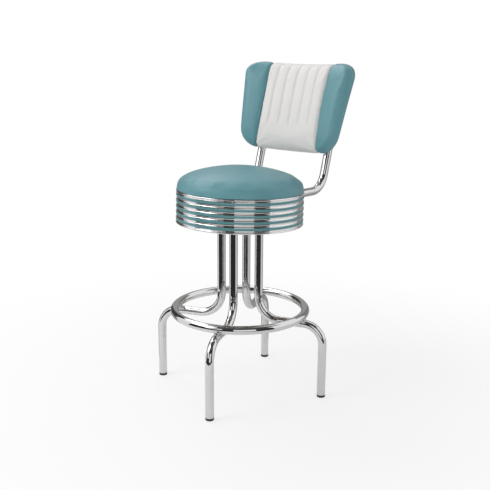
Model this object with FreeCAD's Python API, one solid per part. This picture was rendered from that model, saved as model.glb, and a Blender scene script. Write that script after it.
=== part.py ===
import FreeCAD, Part
import os
from math import asin, atan2, cos, degrees, hypot, pi, radians, sin, sqrt, tan

Vec = FreeCAD.Vector
os.makedirs("parts", exist_ok=True)

# Diner counter stool with a V-shaped back. Millimetres, Z up, floor at Z = 0.
# The origin is the point on the floor under the swivel axis. The sitter faces -Y.

# Tube stock of the base, the foot ring and the back frame
tube_diameter = 25.4
tube_wall = 1.6

# Legs and foot ring
leg_count = 4
leg_phase_deg = 19.0
column_circle_radius = 60.0
leg_circle_radius = 263.4
foot_ring_radius = 201.2
foot_ring_height = 254.5
inner_bend_radius = 70.0
outer_bend_radius = 61.5
ring_weld_radius = 9.0
column_weld_size = 4.5
glide_height = 8.0
glide_edge_radius = 2.0
glide_stem_length = 22.0
glide_stem_clearance = 0.15
glide_rib_count = 2
glide_rib_height = 0.1

# Swivel: two pressed square plates with a ring of balls between them
seat_board_height = 628.0
swivel_boss_height = 10.0
swivel_boss_radius = 11.0
race_plate_thickness = 3.0
upper_plate_side = 130.0
upper_plate_corner = 14.0
upper_bolt_spacing = 108.0
lower_plate_side = 146.0
lower_plate_corner = 12.0
lower_bolt_spacing = 124.0
base_plate_side = 160.0
base_plate_corner = 18.0
base_plate_thickness = 5.0
ball_count = 16
ball_diameter = 7.94
ball_seat_depth = 1.2
race_radius = 42.0
race_clearance = 0.2
cage_width = 11.0
cage_thickness = 2.0
pin_radius = 6.0
pin_running_clearance = 0.05
pin_head_radius = 11.0
pin_head_thickness = 3.0
pin_tail_radius = 9.0
pin_tail_thickness = 2.0
bushing_wall = 2.0
bushing_flange_radius = 12.0
bushing_flange_thickness = 1.2
axial_play = 0.1

# Screws and tee nuts
screw_radius = 3.0
screw_hole_clearance = 0.2
screw_head_radius = 5.2
screw_head_height = 3.2
nut_across_flats = 10.0
nut_height = 5.0
tee_flange_radius = 9.0
tee_flange_thickness = 1.3
tee_barrel_radius = 4.2
tee_barrel_length = 10.0
fit_gap = 0.1
soft_gap = 0.3

# Seat board, cushion and cover
seat_pitch_deg = 2.0
seat_board_radius = 184.0
seat_board_thickness = 15.0
seat_cover_thickness = 1.5
cushion_crown_height = 67.0
cushion_shoulder_radius = 178.0
cushion_shoulder_height = 34.0
cushion_radius = 196.5
cushion_widest_height = 12.0
cushion_under_radius = 190.5
cover_hem_inner_radius = 171.0

# Grooved seat band with its vinyl stripes
band_radius = 190.5
band_height = 98.5
band_wall = 5.6
mounting_ring_inner_radius = 170.0
mounting_ring_thickness = 2.0
band_bead_height = 5.2
band_bead_proud = 0.9
band_bead_root = 1.6
band_lip = 0.8
band_cove_depth = 3.0
insert_count = 5
insert_height = 7.3
insert_pitch = 17.7
insert_first_drop = 13.4
insert_seat_depth = 1.5
insert_proud = 0.7
band_screw_count = 6
band_screw_radius = 2.0
band_screw_head_radius = 4.0
band_screw_head_height = 2.2
band_screw_circle_radius = 177.5
band_screw_length = 12.0
notch_clearance = 0.8

# Back frame: one tube bent to a U, with both ends raked upwards
post_half_spacing = 127.4
post_corner_behind = 246.5
post_bend_radius = 63.5
post_rake_deg = 15.2
post_length = 312.0
frame_front_run = 127.0
frame_corner_radius = 64.0
frame_bolt_front = -38.0
frame_bolt_rear = 72.0
plug_cap_height = 4.0
plug_stem_length = 14.0

# Back pad, measured along and square to the posts
pad_bottom = 106.0
pad_top = 392.0
pad_half_width_top = 212.0
pad_half_width_bottom = 181.0
pad_top_corner = 48.0
pad_top_corner_reach = 74.0
pad_bottom_corner = 58.0
pad_thickness = 59.0
pad_crown = 5.0
pad_roll_radius = 24.0
pad_rear_roll_radius = 18.0
pad_rear_setback = 31.0
pad_side_proud = 0.62
pad_bend_radius = 720.0
pad_cover_thickness = 1.5
centre_panel_half_width = 116.5
channel_count = 6
channel_depth = 4.5
channel_fade_start = 62.0
channel_fade_end = 104.0
channel_top_fade = 34.0
rear_panel_thickness = 3.0
rear_panel_inset = 27.0
back_board_thickness = 12.0
back_board_inset = 30.0
back_screw_low = 150.0
back_screw_high = 262.0

# Heights and radii that follow from the sizes above
tube_radius = tube_diameter / 2
tube_bore = tube_radius - tube_wall
run_height = foot_ring_height - tube_diameter
upper_plate_top = seat_board_height - swivel_boss_height
upper_plate_bottom = upper_plate_top - race_plate_thickness
ball_radius = ball_diameter / 2
ball_height = upper_plate_bottom - ball_radius + ball_seat_depth
lower_plate_top = upper_plate_bottom - ball_diameter + 2 * ball_seat_depth
lower_plate_bottom = lower_plate_top - race_plate_thickness
base_plate_bottom = lower_plate_bottom - base_plate_thickness
band_top = seat_board_height - seat_cover_thickness
band_bottom = band_top - band_height
seat_board_top = seat_board_height + seat_board_thickness
frame_height = seat_board_height - tube_radius
bushing_outer_radius = pin_radius + pin_running_clearance + bushing_wall
screw_hole_radius = screw_radius + screw_hole_clearance
z_axis = Vec(0, 0, 1)
y_axis = Vec(0, 1, 0)
x_axis = Vec(1, 0, 0)


# General helpers

def save(name, shape):
    solids = shape.Solids
    if not solids or not shape.isValid():
        print("CHECK", name, "solids", len(solids), "valid", shape.isValid())
    shape.exportStep("parts/" + name + ".step")
    print(name, "solids", len(solids), "volume", round(shape.Volume / 1000, 2), "cm3")


def cylinder(radius, low, high, x=0.0, y=0.0):
    return Part.makeCylinder(radius, high - low, Vec(x, y, low))


def ring(outer, inner, low, high, x=0.0, y=0.0):
    return cylinder(outer, low, high, x, y).cut(cylinder(inner, low - 1, high + 1, x, y))


def turned(shape, angle_deg, centre=Vec(0, 0, 0), axis=z_axis):
    copy = shape.copy()
    copy.rotate(centre, axis, angle_deg)
    return copy


def moved(shape, x, y, z):
    copy = shape.copy()
    copy.translate(Vec(x, y, z))
    return copy


def group(shapes):
    return Part.makeCompound([s for shape in shapes for s in shape.Solids])


def line(a, b):
    return Part.LineSegment(a, b).toShape()


def arc(a, middle, b):
    return Part.Arc(a, middle, b).toShape()


def flat(r, z):
    # A point of a profile that is turned about the Z axis
    return Vec(r, 0, z)


def revolve(edges):
    face = Part.Face(Part.Wire(edges))
    return face.revolve(Vec(0, 0, 0), z_axis, 360)


def rounded_plate(side, corner, low, high):
    box = Part.makeBox(side, side, high - low, Vec(-side / 2, -side / 2, low))
    upright = [e for e in box.Edges if abs(e.Vertexes[0].Z - e.Vertexes[1].Z) > 0.5 * (high - low)]
    return box.makeFillet(corner, upright)


def square_points(spacing):
    half = spacing / 2
    return [(half, half), (-half, half), (-half, -half), (half, -half)]


def hexagon(across_flats, low, high, x, y):
    corner = across_flats / sqrt(3)
    points = [Vec(x + corner * cos(k * pi / 3), y + corner * sin(k * pi / 3), low) for k in range(7)]
    return Part.Face(Part.makePolygon(points)).extrude(Vec(0, 0, high - low))


def sweep_tube(path, outer, inner):
    # A tube along tangent lines and arcs, with both ends open
    start = path.Edges[0]
    origin = start.valueAt(start.FirstParameter)
    heading = start.tangentAt(start.FirstParameter)

    def pipe(radius):
        section = Part.Wire(Part.Circle(origin, heading, radius).toShape())
        return path.makePipeShell([section], True, False)

    tube = pipe(outer).cut(pipe(inner))
    expected = pi * (outer ** 2 - inner ** 2) * path.Length
    print("  swept length", round(path.Length, 1), "volume ratio", round(tube.Volume / expected, 4))
    return tube


def bent_path(corners, radii):
    # Straight runs between corners, joined by tangent arcs of the given radii
    edges = []
    start = corners[0]
    for k in range(1, len(corners) - 1):
        back = (corners[k - 1] - corners[k]).normalize()
        ahead = (corners[k + 1] - corners[k]).normalize()
        half_turn = (pi - back.getAngle(ahead)) / 2
        reach = radii[k - 1] * tan(half_turn)
        first = corners[k] + back * reach
        last = corners[k] + ahead * reach
        to_centre = (back + ahead).normalize()
        centre = corners[k] + to_centre * (radii[k - 1] / cos(half_turn))
        middle = centre - to_centre * radii[k - 1]
        edges += [line(start, first), arc(first, middle, last)]
        start = last
    edges.append(line(start, corners[-1]))
    return Part.Wire(edges)


def pitched(shape):
    # The whole seat leans back a little on the swivel
    return turned(shape, -seat_pitch_deg, Vec(0, 0, seat_board_height), x_axis)


def raked(shape):
    # From the back pad's own frame to the seat's frame, before the seat is pitched
    upright = moved(shape, 0, post_corner_behind, frame_height)
    return turned(upright, -post_rake_deg, Vec(0, post_corner_behind, frame_height), x_axis)


# Base: legs, foot ring, welds, glides and top plate

def leg_angle(k):
    return leg_phase_deg + k * 360.0 / leg_count


def leg_path():
    return bent_path(
        [
            Vec(column_circle_radius, 0, base_plate_bottom),
            Vec(column_circle_radius, 0, run_height),
            Vec(leg_circle_radius, 0, run_height),
            Vec(leg_circle_radius, 0, glide_height),
        ],
        [inner_bend_radius, outer_bend_radius],
    )


def glide():
    foot = cylinder(tube_radius, 0, glide_height, leg_circle_radius)
    foot = foot.makeFillet(glide_edge_radius, [e for e in foot.Edges if e.BoundBox.ZMax < 0.1])
    stem_radius = tube_bore - glide_stem_clearance
    top = glide_height + glide_stem_length
    stem = cylinder(stem_radius, glide_height, top, leg_circle_radius)
    step = glide_stem_length / (glide_rib_count + 1)
    rib = step / 5
    for k in range(glide_rib_count):
        middle = glide_height + (k + 1) * step
        stem = stem.fuse(
            cylinder(stem_radius + glide_rib_height, middle - rib, middle + rib, leg_circle_radius)
        )
    return foot.fuse(stem).removeSplitter()


def ring_weld():
    # The bead in the crevice where the foot ring lies on a leg
    bead = Part.makeSphere(ring_weld_radius, Vec(foot_ring_radius, 0, foot_ring_height - tube_radius))
    leg = Part.makeCylinder(tube_radius, leg_circle_radius, Vec(0, 0, run_height), x_axis)
    torus = Part.makeTorus(foot_ring_radius, tube_radius, Vec(0, 0, foot_ring_height))
    return bead.cut(leg).cut(torus)


def column_weld():
    cone = Part.makeCone(
        tube_radius + fit_gap,
        tube_radius + column_weld_size,
        column_weld_size,
        Vec(column_circle_radius, 0, base_plate_bottom - column_weld_size),
    )
    bore = cylinder(
        tube_radius, base_plate_bottom - 2 * column_weld_size, base_plate_bottom + 1, column_circle_radius
    )
    return cone.cut(bore)


def make_base():
    leg = sweep_tube(leg_path(), tube_radius, tube_bore)
    foot = glide()
    for k in range(leg_count):
        save("leg_tube_%d" % (k + 1), turned(leg, leg_angle(k)))
        save("foot_glide_%d" % (k + 1), turned(foot, leg_angle(k)))
    centre = Vec(0, 0, foot_ring_height)
    hollow = Part.makeTorus(foot_ring_radius, tube_bore, centre)
    save("foot_ring", Part.makeTorus(foot_ring_radius, tube_radius, centre).cut(hollow))
    save("foot_ring_welds", group([turned(ring_weld(), leg_angle(k)) for k in range(leg_count)]))
    save("column_welds", group([turned(column_weld(), leg_angle(k)) for k in range(leg_count)]))

    plate = rounded_plate(base_plate_side, base_plate_corner, base_plate_bottom, lower_plate_bottom)
    for x, y in square_points(lower_bolt_spacing):
        plate = plate.cut(cylinder(screw_hole_radius, 0, seat_board_height, x, y))
    plate = plate.cut(cylinder(pin_tail_radius + 1, 0, seat_board_height))
    save("base_top_plate", turned(plate, leg_phase_deg))


# Swivel: race plates, balls, cage, king pin and its bolts

def race_groove():
    return Part.makeTorus(race_radius, ball_radius + race_clearance, Vec(0, 0, ball_height))


def lower_race_plate():
    plate = rounded_plate(lower_plate_side, lower_plate_corner, lower_plate_bottom, lower_plate_top)
    for x, y in square_points(lower_bolt_spacing):
        plate = plate.cut(cylinder(screw_hole_radius, 0, seat_board_height, x, y))
    plate = plate.cut(race_groove())
    return turned(plate.cut(cylinder(pin_radius, 0, seat_board_height)), leg_phase_deg)


def seat_screw(x, y):
    # Comes up through the upper plate's boss into a tee nut in the seat board
    head_top = upper_plate_bottom
    tip = seat_board_top - tee_flange_thickness
    head = cylinder(screw_head_radius, head_top - screw_head_height, head_top, x, y)
    return head.fuse(cylinder(screw_radius, head_top, tip, x, y))


def seat_screw_room(x, y):
    slack = 2 * fit_gap
    head_low = upper_plate_bottom - screw_head_height - 1
    head = cylinder(screw_head_radius + slack, head_low, upper_plate_bottom + slack, x, y)
    return head.fuse(cylinder(screw_hole_radius + slack, head_low, seat_board_top, x, y))


def upper_race_plate():
    # Level below, with bosses of uneven height that meet the pitched seat board
    plate = rounded_plate(upper_plate_side, upper_plate_corner, upper_plate_bottom, upper_plate_top)
    tall = seat_board_height + swivel_boss_height
    for x, y in square_points(upper_bolt_spacing):
        plate = plate.fuse(cylinder(swivel_boss_radius, upper_plate_top, tall, x, y))
    above = Part.makeBox(
        2 * upper_plate_side,
        2 * upper_plate_side,
        3 * swivel_boss_height,
        Vec(-upper_plate_side, -upper_plate_side, seat_board_height),
    )
    plate = plate.cut(pitched(above)).cut(race_groove())
    for x, y in square_points(upper_bolt_spacing):
        plate = plate.cut(pitched(seat_screw_room(x, y)))
    return plate.cut(cylinder(bushing_outer_radius, 0, seat_board_height)).removeSplitter()


def ball_cage():
    half = cage_thickness / 2
    cage = ring(
        race_radius + cage_width / 2, race_radius - cage_width / 2, ball_height - half, ball_height + half
    )
    pocket = cylinder(ball_radius + race_clearance, ball_height - 5, ball_height + 5, race_radius)
    for k in range(ball_count):
        cage = cage.cut(turned(pocket, k * 360.0 / ball_count))
    return cage


def king_pin():
    head_low = upper_plate_top + bushing_flange_thickness + axial_play
    pin = cylinder(pin_radius, lower_plate_bottom, head_low + pin_head_thickness)
    head = cylinder(pin_head_radius, head_low, head_low + pin_head_thickness)
    head = head.makeChamfer(1.0, [e for e in head.Edges if e.BoundBox.ZMin > head_low + 0.5])
    tail = cylinder(pin_tail_radius, lower_plate_bottom - pin_tail_thickness, lower_plate_bottom)
    return pin.fuse(head).fuse(tail).removeSplitter()


def pin_bushing():
    bore = pin_radius + pin_running_clearance
    sleeve = ring(bushing_outer_radius, bore, upper_plate_bottom, upper_plate_top)
    top = upper_plate_top + bushing_flange_thickness
    return sleeve.fuse(ring(bushing_flange_radius, bore, upper_plate_top, top)).removeSplitter()


def lower_bolt(x, y):
    head = cylinder(screw_head_radius, lower_plate_top, lower_plate_top + screw_head_height, x, y)
    head = head.makeChamfer(1.0, [e for e in head.Edges if e.BoundBox.ZMin > lower_plate_top + 1])
    tip = base_plate_bottom - nut_height - 3
    return head.fuse(cylinder(screw_radius, tip, lower_plate_top, x, y))


def lower_nut(x, y):
    nut = hexagon(nut_across_flats, base_plate_bottom - nut_height, base_plate_bottom, x, y)
    return nut.cut(cylinder(screw_radius + fit_gap, 0, seat_board_height, x, y))


def make_swivel():
    save("swivel_lower_plate", lower_race_plate())
    save("swivel_upper_plate", upper_race_plate())
    ball = Part.makeSphere(ball_radius, Vec(race_radius, 0, ball_height))
    save("bearing_balls", group([turned(ball, k * 360.0 / ball_count) for k in range(ball_count)]))
    save("ball_cage", ball_cage())
    save("king_pin", king_pin())
    save("pin_bushing", pin_bushing())
    corners = square_points(lower_bolt_spacing)
    save("swivel_bolts", turned(group([lower_bolt(x, y) for x, y in corners]), leg_phase_deg))
    save("swivel_nuts", turned(group([lower_nut(x, y) for x, y in corners]), leg_phase_deg))
    screws = [seat_screw(x, y) for x, y in square_points(upper_bolt_spacing)]
    save("seat_screws", pitched(group(screws)))


# Seat: board with its tee nuts, foam and stretched cover

def tee_nut(x, y):
    top = seat_board_top
    barrel_low = top - tee_flange_thickness - tee_barrel_length
    nut = cylinder(tee_flange_radius, top - tee_flange_thickness, top, x, y)
    nut = nut.fuse(cylinder(tee_barrel_radius, barrel_low, top - tee_flange_thickness, x, y))
    return nut.cut(cylinder(screw_radius + fit_gap, 0, top + 1, x, y)).removeSplitter()


def tee_nut_room(x, y):
    top = seat_board_top
    room = cylinder(tee_flange_radius + fit_gap, top - tee_flange_thickness, top + 1, x, y)
    return room.fuse(cylinder(tee_barrel_radius + fit_gap, seat_board_height - 1, top, x, y))


def frame_bolt_points():
    rows = (frame_bolt_front, frame_bolt_rear)
    return [(side * post_half_spacing, y) for side in (-1, 1) for y in rows]


def band_screw(k):
    low = band_top - mounting_ring_thickness
    head = cylinder(
        band_screw_head_radius, low - band_screw_head_height, low, band_screw_circle_radius
    )
    head = head.makeChamfer(1.0, [e for e in head.Edges if e.BoundBox.ZMax < low - 1])
    shank = cylinder(band_screw_radius, low, low + band_screw_length, band_screw_circle_radius)
    return turned(head.fuse(shank), (k + 0.5) * 360.0 / band_screw_count)


def band_screw_room(k):
    bore = cylinder(
        band_screw_radius + fit_gap,
        band_bottom,
        band_top - mounting_ring_thickness + band_screw_length,
        band_screw_circle_radius,
    )
    return turned(bore, (k + 0.5) * 360.0 / band_screw_count)


def all_tee_points():
    return square_points(upper_bolt_spacing) + frame_bolt_points()


def seat_board():
    board = cylinder(seat_board_radius, seat_board_height, seat_board_top)
    for x, y in all_tee_points():
        board = board.cut(tee_nut_room(x, y))
    for k in range(band_screw_count):
        board = board.cut(band_screw_room(k))
    return board


def dome_edges(inset):
    # The cushion's outline from the top of its crown round its side to its underside
    shoulder = cushion_shoulder_radius
    crown_top = seat_board_height + cushion_crown_height
    ball = (shoulder ** 2 + cushion_shoulder_height ** 2) / (2 * cushion_shoulder_height)
    centre = crown_top - ball
    radius = ball - inset
    spread = asin(shoulder / ball)
    top = flat(0, centre + radius)
    half = flat(radius * sin(spread / 2), centre + radius * cos(spread / 2))
    edge = flat(radius * sin(spread), centre + radius * cos(spread))
    widest_z = seat_board_height + cushion_widest_height
    widest = flat(cushion_radius - inset, widest_z)
    slope = atan2(edge.z - widest_z, widest.x - edge.x)
    bulge = 0.2 * hypot(edge.z - widest_z, widest.x - edge.x)
    upper = flat(
        (edge.x + widest.x) / 2 + bulge * sin(slope), (edge.z + widest_z) / 2 + bulge * cos(slope)
    )
    under = flat(cushion_under_radius - inset, band_top + (inset if inset else 0))
    drawn_in = 0.22 * (widest_z - under.z)
    lower = flat((widest.x + under.x) / 2 + drawn_in, (widest_z + under.z) / 2 - drawn_in / 2)
    return [arc(top, half, edge), arc(edge, upper, widest), arc(widest, lower, under)], top, under


def dome(inset, low, inner_radius):
    edges, top, under = dome_edges(inset)
    corner = flat(inner_radius, low)
    edges += [line(under, flat(under.x, low))] if abs(under.z - low) > 0.01 else []
    edges += [line(flat(under.x, low), corner)]
    if inner_radius > 0:
        step = flat(inner_radius, seat_board_top + soft_gap / 2)
        edges += [line(corner, step), line(step, flat(0, step.z)), line(flat(0, step.z), top)]
    else:
        edges += [line(corner, top)]
    return revolve(edges)


def seat_cover():
    outer = dome(0, band_top, 0)
    inner = dome(seat_cover_thickness, seat_board_height, 0)
    cover = outer.cut(inner).cut(cylinder(cover_hem_inner_radius, band_bottom, seat_board_height + 1))
    for k in range(band_screw_count):
        cover = cover.cut(band_screw_room(k))
    for shape in frame_rooms():
        cover = cover.cut(shape)
    return cover


def seat_foam():
    inset = seat_cover_thickness + soft_gap / 2
    return dome(inset, seat_board_height + soft_gap / 2, seat_board_radius + soft_gap / 2)


# Seat band: five vinyl stripes between polished coves, a bead above and below

def insert_middle(k):
    return band_top - insert_first_drop - k * insert_pitch


def frame_rooms():
    # The slots in the top of the band that let the back frame out
    radius = tube_radius + notch_clearance
    rooms = []
    for side in (-1, 1):
        x = side * post_half_spacing
        round_bottom = Part.makeCylinder(radius, cushion_radius, Vec(x, 0, frame_height), y_axis)
        above = Part.makeBox(
            2 * radius, cushion_radius, tube_radius, Vec(x - radius, 0, frame_height)
        )
        rooms.append(round_bottom.fuse(above))
    return rooms


def seat_band():
    rim = band_radius
    bead_top = band_top
    edges = []
    inner = rim - band_wall
    root = rim - band_bead_root
    point = flat(inner, band_top)

    def to(target):
        nonlocal point
        edges.append(line(point, target))
        point = target

    def curve(middle, target):
        nonlocal point
        edges.append(arc(point, middle, target))
        point = target

    def bead(top, bottom):
        to(flat(root, top))
        curve(flat(rim + band_bead_proud, (top + bottom) / 2), flat(root, bottom))

    def cove(target):
        middle = flat(rim - band_cove_depth, (point.z + target.z) / 2)
        curve(middle, target)

    bead(bead_top, bead_top - band_bead_height)
    half = insert_height / 2
    seat = rim - insert_seat_depth
    for k in range(insert_count):
        high = insert_middle(k) + half
        low = insert_middle(k) - half
        cove(flat(rim, high + band_lip))
        to(flat(rim, high))
        to(flat(seat, high))
        to(flat(seat, low))
        to(flat(rim, low))
        to(flat(rim, low - band_lip))
    cove(flat(root, band_bottom + band_bead_height))
    curve(flat(rim + band_bead_proud, band_bottom + band_bead_height / 2), flat(root, band_bottom))
    to(flat(inner, band_bottom))
    to(flat(inner, band_top))
    band = revolve(edges)
    for shape in frame_rooms():
        band = band.cut(shape)
    return band


def band_mounting_ring():
    # A flat ring welded inside the band's top edge, which the screws go up through
    low = band_top - mounting_ring_thickness
    hoop = ring(band_radius - band_wall, mounting_ring_inner_radius, low, band_top)
    for k in range(band_screw_count):
        hoop = hoop.cut(band_screw_room(k))
    for shape in frame_rooms():
        hoop = hoop.cut(shape)
    return hoop


def band_insert(k):
    half = insert_height / 2 - fit_gap / 2
    middle = insert_middle(k)
    seat = band_radius - insert_seat_depth + fit_gap / 2
    face = band_radius + insert_proud / 2
    stripe = revolve(
        [
            line(flat(seat, middle - half), flat(face, middle - half)),
            arc(
                flat(face, middle - half),
                flat(band_radius + insert_proud, middle),
                flat(face, middle + half),
            ),
            line(flat(face, middle + half), flat(seat, middle + half)),
            line(flat(seat, middle + half), flat(seat, middle - half)),
        ]
    )
    for shape in frame_rooms():
        stripe = stripe.cut(shape)
    return stripe


def make_seat():
    save("seat_board", pitched(seat_board()))
    save("seat_tee_nuts", pitched(group([tee_nut(x, y) for x, y in all_tee_points()])))
    save("seat_foam", pitched(seat_foam()))
    save("seat_cover", pitched(seat_cover()))
    save("seat_band", pitched(seat_band()))
    save("band_mounting_ring", pitched(band_mounting_ring()))
    for k in range(insert_count):
        save("band_stripe_%d" % (k + 1), pitched(band_insert(k)))
    save("band_screws", pitched(group([band_screw(k) for k in range(band_screw_count)])))


# Back frame: the bent tube, its bolts and its end plugs

def post_direction():
    return Vec(0, sin(radians(post_rake_deg)), cos(radians(post_rake_deg)))


def frame_path():
    corners = []
    for side in (-1, 1):
        corner = Vec(side * post_half_spacing, post_corner_behind, frame_height)
        top = corner + post_direction() * post_length
        front = Vec(side * post_half_spacing, -frame_front_run, frame_height)
        corners += [top, corner, front] if side < 0 else [front, corner, top]
    return bent_path(
        corners, [post_bend_radius, frame_corner_radius, frame_corner_radius, post_bend_radius]
    )


def frame_bolt(x, y):
    head_top = frame_height - tube_radius - fit_gap
    tip = seat_board_top - tee_flange_thickness
    head = cylinder(screw_head_radius, head_top - screw_head_height, head_top, x, y)
    return head.fuse(cylinder(screw_radius, head_top, tip, x, y))


def back_screw_points():
    return [(side * post_half_spacing, u) for side in (-1, 1) for u in (back_screw_low, back_screw_high)]


def along_normal(radius, behind, ahead, x, u):
    # A cylinder square to the posts in the pad's frame, where -Y points at the sitter
    return Part.makeCylinder(radius, ahead + behind, Vec(x, behind, u), Vec(0, -1, 0))


def back_frame():
    tube = sweep_tube(frame_path(), tube_radius, tube_bore)
    for x, y in frame_bolt_points():
        tube = tube.cut(cylinder(screw_hole_radius, band_bottom, seat_board_height + 1, x, y))
    for x, u in back_screw_points():
        tube = tube.cut(raked(along_normal(screw_hole_radius, tube_diameter, tube_diameter, x, u)))
    return tube


def end_plug(side):
    x = side * post_half_spacing
    cap = cylinder(tube_radius, post_length, post_length + plug_cap_height, x)
    top = post_length + plug_cap_height
    cap = cap.makeFillet(plug_cap_height * 0.7, [e for e in cap.Edges if e.BoundBox.ZMin > top - 0.1])
    stem = cylinder(tube_bore - fit_gap, post_length - plug_stem_length, post_length, x)
    return cap.fuse(stem).removeSplitter()


def make_back_frame():
    save("back_frame", pitched(back_frame()))
    save("frame_bolts", pitched(group([frame_bolt(x, y) for x, y in frame_bolt_points()])))
    save("post_end_plugs", pitched(raked(group([end_plug(-1), end_plug(1)]))))


# Back pad. In its own frame X runs across, Z up the posts, and -Y towards the sitter.

def rear_offset():
    # How far the pad's rear face stands ahead of the post centres, in the pad's middle
    reach = pad_bend_radius + tube_radius + fit_gap
    return sqrt(reach ** 2 - post_half_spacing ** 2) - pad_bend_radius


def pad_point(x, depth, u):
    # x is measured along the bend at mid thickness, depth from the rear face
    angle = x / (pad_bend_radius - pad_thickness / 2)
    radius = pad_bend_radius - depth
    centre = rear_offset() + pad_bend_radius
    return Vec(radius * sin(angle), radius * cos(angle) - centre, u)


def corner_loss(distance, corner):
    # How much a rounded corner takes off the width at this distance from its end
    if distance >= corner:
        return 0.0
    return corner - sqrt(max(corner ** 2 - (corner - distance) ** 2, 0.0))


def half_width(u):
    share = (u - pad_bottom) / (pad_top - pad_bottom)
    width = pad_half_width_bottom + (pad_half_width_top - pad_half_width_bottom) * share
    width -= corner_loss(pad_top - u, pad_top_corner) * pad_top_corner_reach / pad_top_corner
    return width - corner_loss(u - pad_bottom, pad_bottom_corner)


def edge_loss(u):
    # How far the front face falls back where it rolls over the top and bottom edges
    distance = min(pad_top - u, u - pad_bottom)
    return corner_loss(distance, pad_roll_radius)


def front_depth(u):
    middle = (pad_top + pad_bottom) / 2
    share = (u - middle) / ((pad_top - pad_bottom) / 2)
    return pad_thickness - pad_crown * share ** 2 - edge_loss(u)


def rear_depth(u):
    distance = min(pad_top - u, u - pad_bottom)
    return rear_panel_thickness + corner_loss(distance, pad_rear_roll_radius)


def pad_stations(inset):
    low = pad_bottom + inset
    high = pad_top - inset
    ends = [0.0, 0.06, 0.25, 0.6, 1.0]
    bottom = [low + pad_roll_radius * e for e in ends] + [low + pad_bottom_corner * 0.7]
    top = [high - pad_roll_radius * e for e in ends] + [high - pad_top_corner]
    middle = [pad_bottom + channel_fade_start, pad_bottom + channel_fade_end]
    middle += [(pad_bottom + channel_fade_end + pad_top - pad_top_corner) / 2]
    return sorted(bottom + middle + top)


def shaped_u(u, inset):
    # The full pad's height that a station of an inset copy stands for
    middle = (pad_top + pad_bottom) / 2
    half = (pad_top - pad_bottom) / 2
    return middle + (u - middle) * half / (half - inset)


def outer_side(u, inset, side, front, rear):
    # The rolled side of the pad, from its front face to its rear edge
    width = half_width(shaped_u(u, inset)) - inset
    spare = (width - centre_panel_half_width) * 0.6
    fall = min(pad_roll_radius * 0.5, (front - rear) * 0.5, spare)
    first = pad_point(side * (width - fall), front, u)
    middle = pad_point(side * width, rear + (front - rear) * pad_side_proud, u)
    last = pad_point(side * (width - min(pad_rear_setback, spare)), rear, u)
    return first, middle, last


def full_section(u, inset):
    real = shaped_u(u, inset)
    front = front_depth(real) - inset
    rear = rear_depth(real) + inset
    left = outer_side(u, inset, -1, front, rear)
    right = outer_side(u, inset, 1, front, rear)
    return Part.Wire(
        [
            arc(left[2], left[1], left[0]),
            arc(left[0], pad_point(0, front, u), right[0]),
            arc(right[0], right[1], right[2]),
            arc(right[2], pad_point(0, rear, u), left[2]),
        ]
    )


def wing_section(u, side):
    front = front_depth(u)
    rear = rear_depth(u)
    seam = side * (centre_panel_half_width + soft_gap / 2)
    first, middle, last = outer_side(u, 0, side, front, rear)
    front_middle = pad_point(seam + (half_width(u) * side - seam) * 0.3, front, u)
    rear_middle = pad_point(seam + (half_width(u) * side - seam) * 0.3, rear, u)
    seam_front = pad_point(seam, front, u)
    seam_rear = pad_point(seam, rear, u)
    return Part.Wire(
        [
            arc(seam_front, front_middle, first),
            arc(first, middle, last),
            arc(last, rear_middle, seam_rear),
            line(seam_rear, seam_front),
        ]
    )


def channel_dip(u):
    # Full depth over the upper part, fading out above the plain lower part
    rise = (u - pad_bottom - channel_fade_start) / (channel_fade_end - channel_fade_start)
    fall = (pad_top - u) / channel_top_fade
    return channel_depth * max(0.0, min(1.0, rise, fall))


def centre_section(u):
    front = front_depth(u)
    rear = rear_depth(u)
    half = centre_panel_half_width - soft_gap / 2
    pitch = 2 * half / channel_count
    dip = channel_dip(u)
    edges = []
    for k in range(channel_count):
        x = -half + k * pitch
        left_dip = dip if k > 0 else 0.0
        right_dip = dip if k < channel_count - 1 else 0.0
        edges.append(
            arc(
                pad_point(x, front - left_dip, u),
                pad_point(x + pitch / 2, front, u),
                pad_point(x + pitch, front - right_dip, u),
            )
        )
    edges.append(line(pad_point(half, front, u), pad_point(half, rear, u)))
    edges.append(arc(pad_point(half, rear, u), pad_point(0, rear, u), pad_point(-half, rear, u)))
    edges.append(line(pad_point(-half, rear, u), pad_point(-half, front, u)))
    return Part.Wire(edges)


def loft(sections):
    return Part.makeLoft(sections, True, True)


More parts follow.
